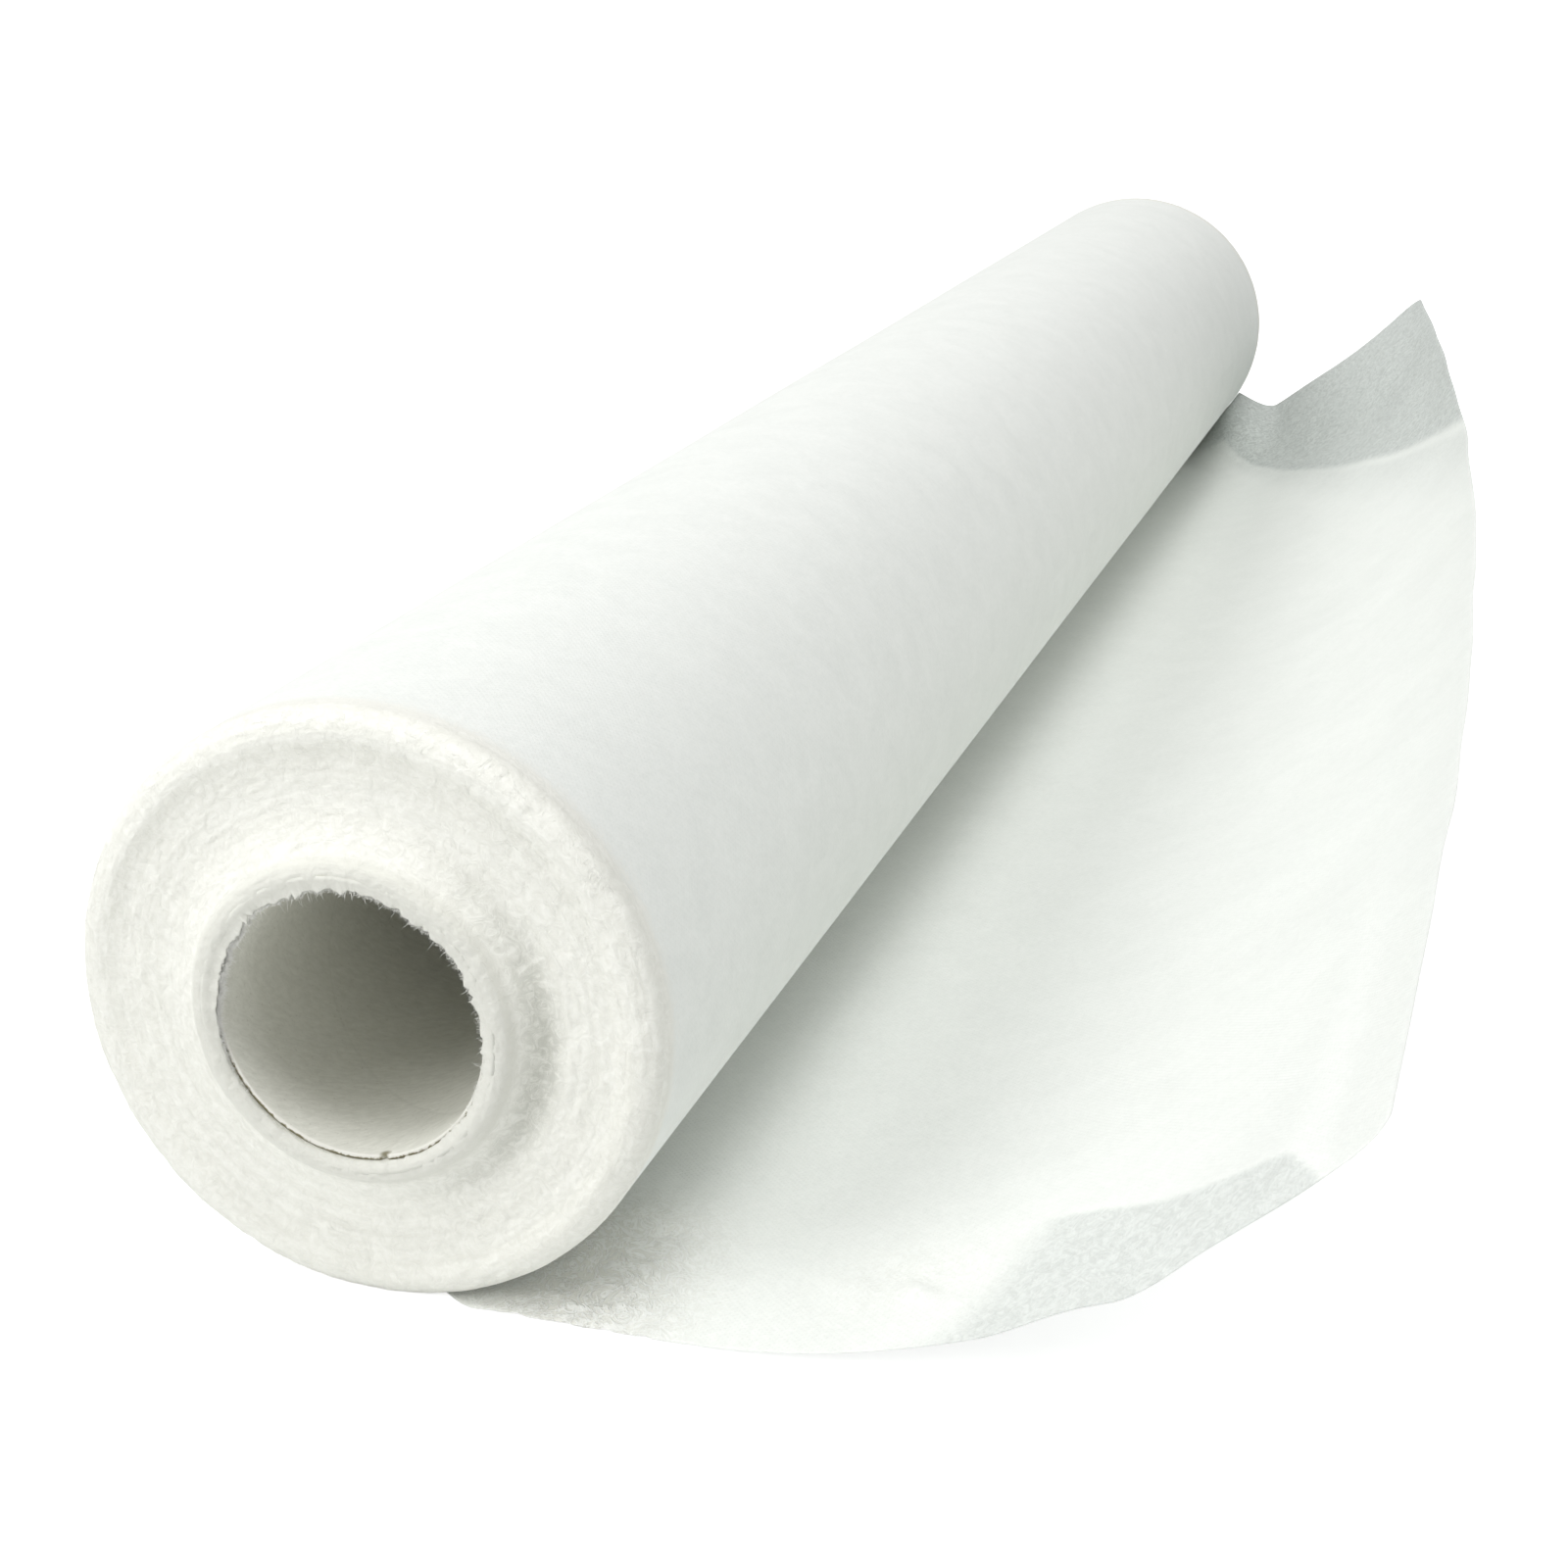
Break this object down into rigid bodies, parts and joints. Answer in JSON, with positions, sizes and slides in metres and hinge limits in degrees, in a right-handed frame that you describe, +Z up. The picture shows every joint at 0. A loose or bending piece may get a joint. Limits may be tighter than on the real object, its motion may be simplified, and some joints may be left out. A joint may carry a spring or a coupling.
{
  "type": "nonwoven table cover roll",
  "caption": "White spunbond table cover wound on a paper tube, lying on its side with the free end drawn out and curling up.",
  "frame": {"origin": "on the axis of the paper tube's bore, halfway along the width of the web", "axes": "+Y along the roll's axis, away from the end where the inner turns stand proud; +X towards the free end; +Z up"},
  "size_m": [0.3519, 1.2109, 0.1688],
  "materials": {
    "nonwoven": "matt white spunbond with point bonding",
    "core_board": "matt grey chipboard, spirally wound"
  },
  "bodies": {
    "root": {"nonwoven_web": "nonwoven", "core_tube": "core_board"}
  },
  "joints": []
}
